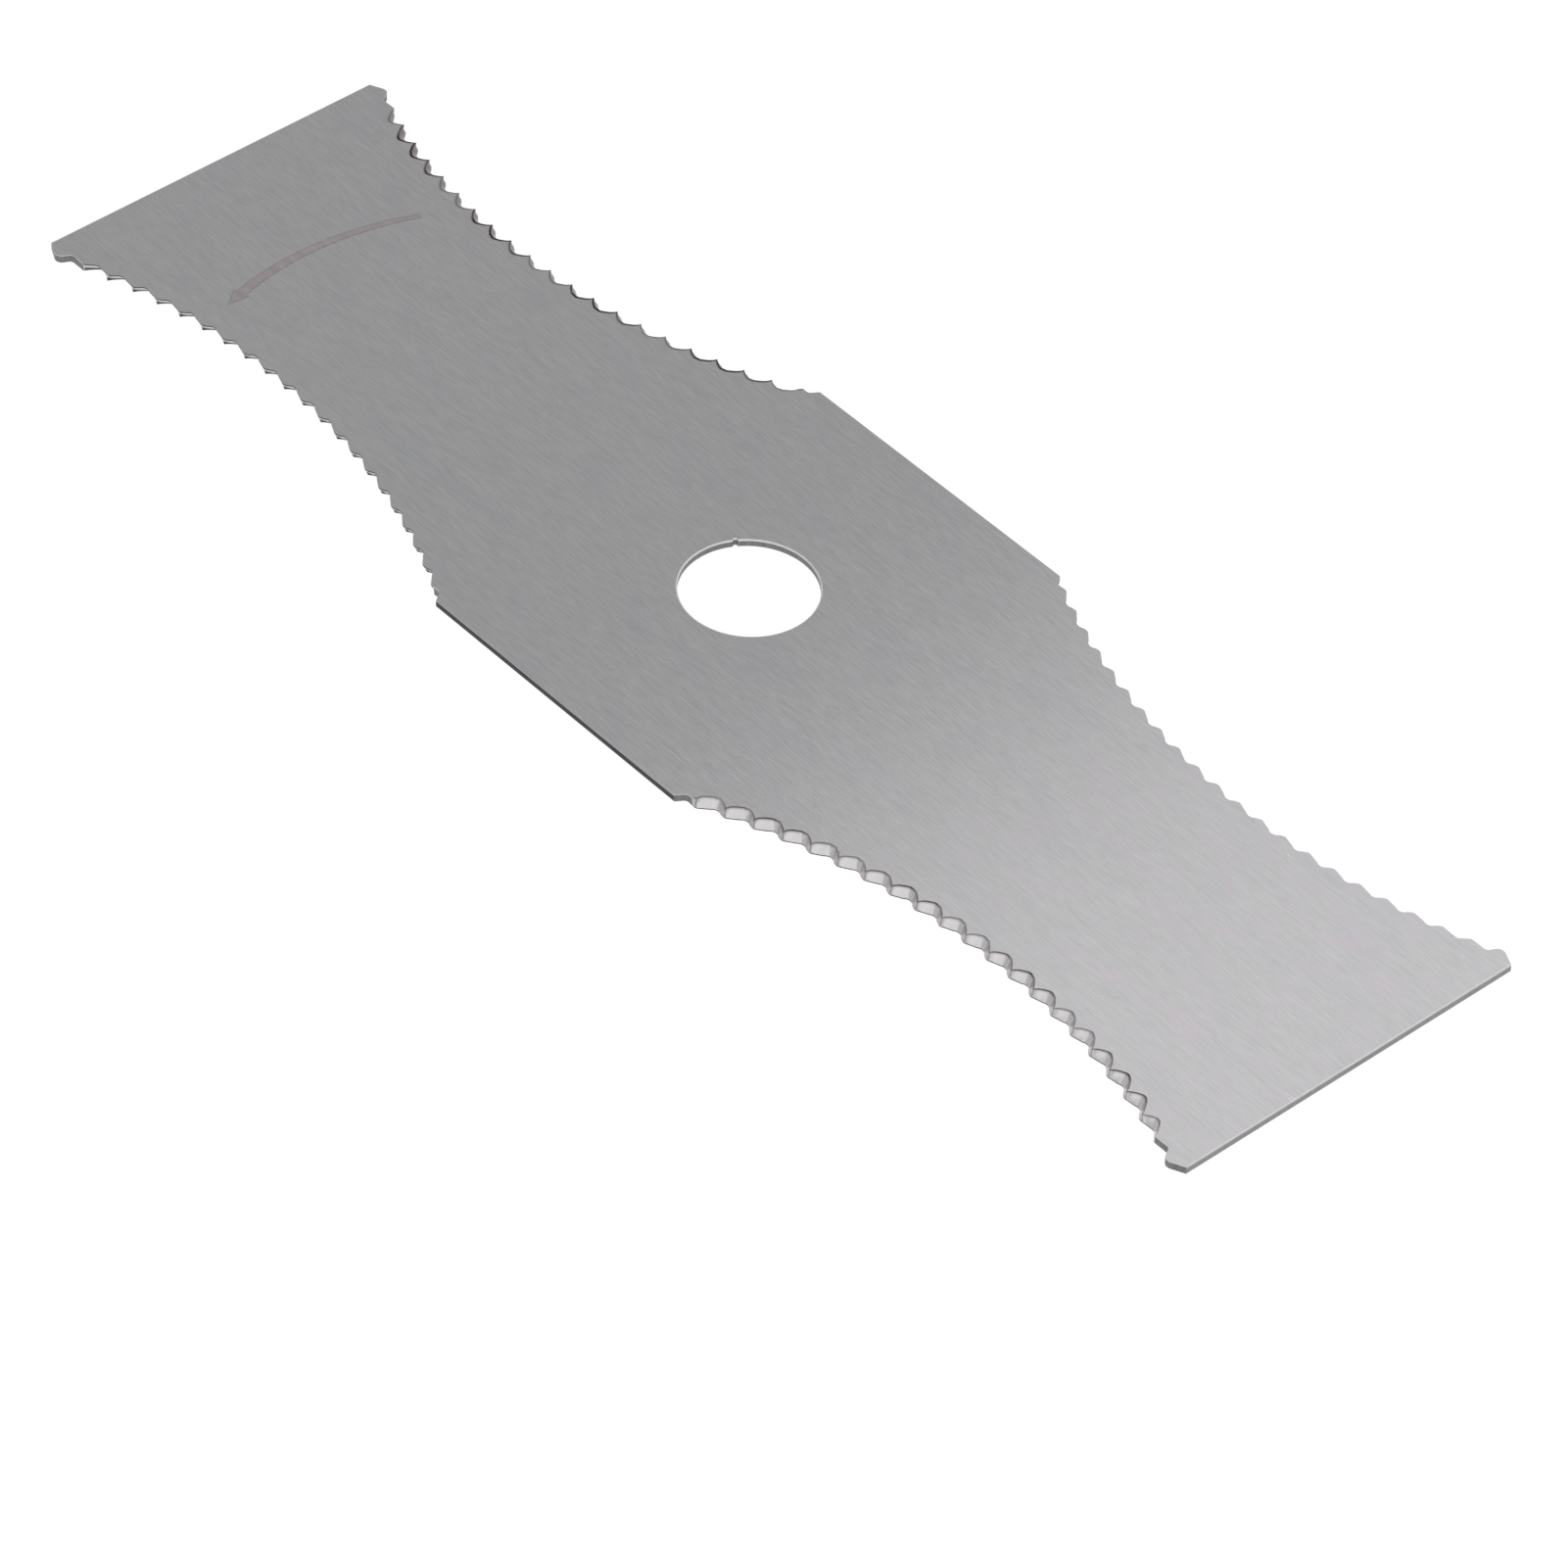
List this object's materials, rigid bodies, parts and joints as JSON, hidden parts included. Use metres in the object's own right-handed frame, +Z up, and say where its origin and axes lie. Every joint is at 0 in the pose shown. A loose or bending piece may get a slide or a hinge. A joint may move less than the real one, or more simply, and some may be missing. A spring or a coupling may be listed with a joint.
{
  "type": "grass trimmer blade",
  "caption": "Flat steel grass trimmer blade with a round arbor bore, a straight-sided hub, waisted wings and wavy cutting edges with ground bevels.",
  "frame": {"origin": "on the bore's axis, at the underside of the sheet", "axes": "+Z up, out of the face with the direction arrow; +X along one wing; turning in use is anticlockwise about +Z"},
  "size_m": [0.3048, 0.09, 0.0016],
  "materials": {
    "blade_steel": "cold-rolled spring steel sheet, brushed lengthways, edges as cut, bevels ground bright"
  },
  "bodies": {
    "root": {"blade": "blade_steel"}
  },
  "joints": []
}
